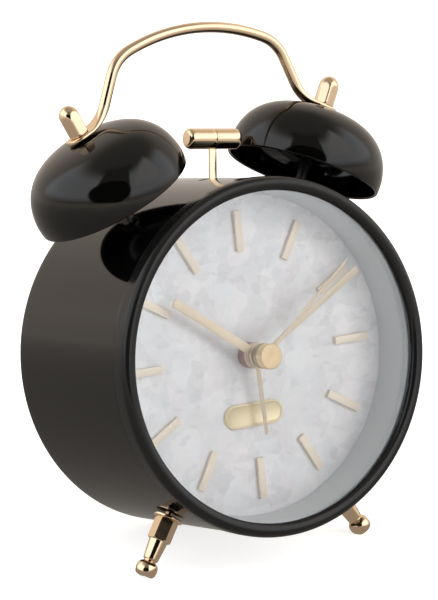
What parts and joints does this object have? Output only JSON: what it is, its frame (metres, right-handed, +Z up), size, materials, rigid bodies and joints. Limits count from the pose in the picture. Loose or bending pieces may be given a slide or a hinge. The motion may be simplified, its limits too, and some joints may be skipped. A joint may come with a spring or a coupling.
{
  "type": "alarm clock",
  "caption": "Twin-bell desk alarm clock: gloss black drum and bells, gold handle, hammer and legs, pearl dial under glass, battery quartz works with setting knobs at the back.",
  "frame": {"origin": "centre of the bounding box in plan, on the surface that both feet and the case's rear rim stand on", "axes": "+Z up, -Y the way the dial faces, +X to the right of the dial; the case leans back 12.5 degrees, so its top goes towards +Y"},
  "size_m": [0.1096, 0.078, 0.1462],
  "materials": {
    "black_gloss": "high-gloss black lacquer",
    "bezel_satin": "satin black lacquer",
    "gold": "polished pale gold plating",
    "champagne": "satin champagne plating",
    "copper": "satin copper plating",
    "pearl": "mother-of-pearl effect",
    "ring_grey": "smooth pale grey",
    "glass": "clear, flat",
    "brass": "machined",
    "steel": "plain",
    "black_plastic": "fine moulded texture",
    "white_plastic": "moulded",
    "circuit_green": "solder-masked board",
    "battery_shell": "plain printed sleeve without lettering"
  },
  "bodies": {
    "case": {"case_drum": "black_gloss", "bezel": "bezel_satin", "lens": "glass", "dial_ring": "ring_grey", "dial_plate": "pearl", "name_plaque": "gold", "handle": "gold", "bell_left": "black_gloss", "bell_right": "black_gloss", "bell_post_left": "steel", "bell_post_right": "steel", "acorn_nut_left": "gold", "acorn_nut_right": "gold", "motor_bracket": "steel", "alarm_motor": "steel", "leg_left": "gold", "leg_right": "gold", "leg_nut_left": "steel", "leg_nut_right": "steel", "back_cover": "black_plastic", "battery_tray": "black_plastic", "battery": "battery_shell", "battery_contact_positive": "steel", "battery_contact_negative": "steel", "movement_plate": "black_plastic", "movement_cover": "black_plastic", "circuit_board": "circuit_green", "cover_screw_1": "steel", "cover_screw_2": "steel", "hour_marker_01": "champagne", "hour_marker_02": "champagne", "hour_marker_03": "champagne", "hour_marker_04": "champagne", "hour_marker_05": "champagne", "hour_marker_06": "champagne", "hour_marker_07": "champagne", "hour_marker_08": "champagne", "hour_marker_09": "champagne", "hour_marker_10": "champagne", "hour_marker_11": "champagne", "hour_marker_12": "champagne"},
    "time_setter": {"time_set_knob": "black_plastic", "motion_wheel": "white_plastic"},
    "minutes": {"minute_pipe": "brass", "minute_hand": "champagne"},
    "hours": {"hour_wheel": "brass", "hour_hand": "champagne"},
    "seconds": {"second_arbor": "gold", "second_hand": "champagne", "hub_cap": "gold"},
    "alarm_setter": {"alarm_set_knob": "black_plastic", "alarm_pinion": "white_plastic"},
    "alarm_time": {"alarm_wheel": "brass", "alarm_hand": "copper"},
    "hammer": {"hammer_arm": "gold", "hammer_head": "gold"},
    "crank": {"crank_gear": "white_plastic"},
    "motor_shaft": {"motor_pinion": "brass"},
    "switch": {"alarm_switch": "black_plastic"},
    "door": {"battery_door": "black_plastic"}
  },
  "joints": [
    {"name": "time_set_turn", "type": "hinge", "parent": "case", "child": "time_setter", "pos_m": [0.0096, 0.02996, 0.04763], "axis": [0, 0.9763, -0.2164], "continuous": true},
    {"name": "minute_turn", "type": "hinge", "parent": "case", "child": "minutes", "pos_m": [0, -0.01983, 0.05867], "axis": [0, 0.9763, -0.2164], "continuous": true},
    {"name": "hour_turn", "type": "hinge", "parent": "case", "child": "hours", "pos_m": [0, -0.01788, 0.05824], "axis": [0, 0.9763, -0.2164], "continuous": true},
    {"name": "second_turn", "type": "hinge", "parent": "case", "child": "seconds", "pos_m": [0, -0.02227, 0.05921], "axis": [0, 0.9763, -0.2164], "continuous": true},
    {"name": "alarm_set_turn", "type": "hinge", "parent": "case", "child": "alarm_setter", "pos_m": [-0.012, 0.02996, 0.04763], "axis": [0, 0.9763, -0.2164], "continuous": true},
    {"name": "alarm_turn", "type": "hinge", "parent": "case", "child": "alarm_time", "pos_m": [0, -0.0169, 0.05802], "axis": [0, 0.9763, -0.2164], "continuous": true},
    {"name": "hammer_swing", "type": "hinge", "parent": "case", "child": "hammer", "pos_m": [0, 0.00629, 0.09334], "axis": [0, 0.9763, -0.2164], "range_deg": [-13.6, 2]},
    {"name": "crank_turn", "type": "hinge", "parent": "case", "child": "crank", "pos_m": [0, 0.00564, 0.08119], "axis": [0, 0.9763, -0.2164], "continuous": true},
    {"name": "motor_turn", "type": "hinge", "parent": "case", "child": "motor_shaft", "pos_m": [-0.01, 0.00564, 0.08119], "axis": [0, 0.9763, -0.2164], "continuous": true},
    {"name": "switch_slide", "type": "slide", "parent": "case", "child": "switch", "axis": [1, 0, 0], "range_m": [0, 0.004]},
    {"name": "door_slide", "type": "slide", "parent": "case", "child": "door", "axis": [0, 0.9763, -0.2164], "range_m": [0, 0.012]}
  ],
  "couplings": [
    {"joint": "minute_turn", "follows": "time_set_turn", "ratio": -3},
    {"joint": "hour_turn", "follows": "time_set_turn", "ratio": -0.25},
    {"joint": "alarm_turn", "follows": "alarm_set_turn", "ratio": -0.25},
    {"joint": "motor_turn", "follows": "crank_turn", "ratio": -4}
  ]
}
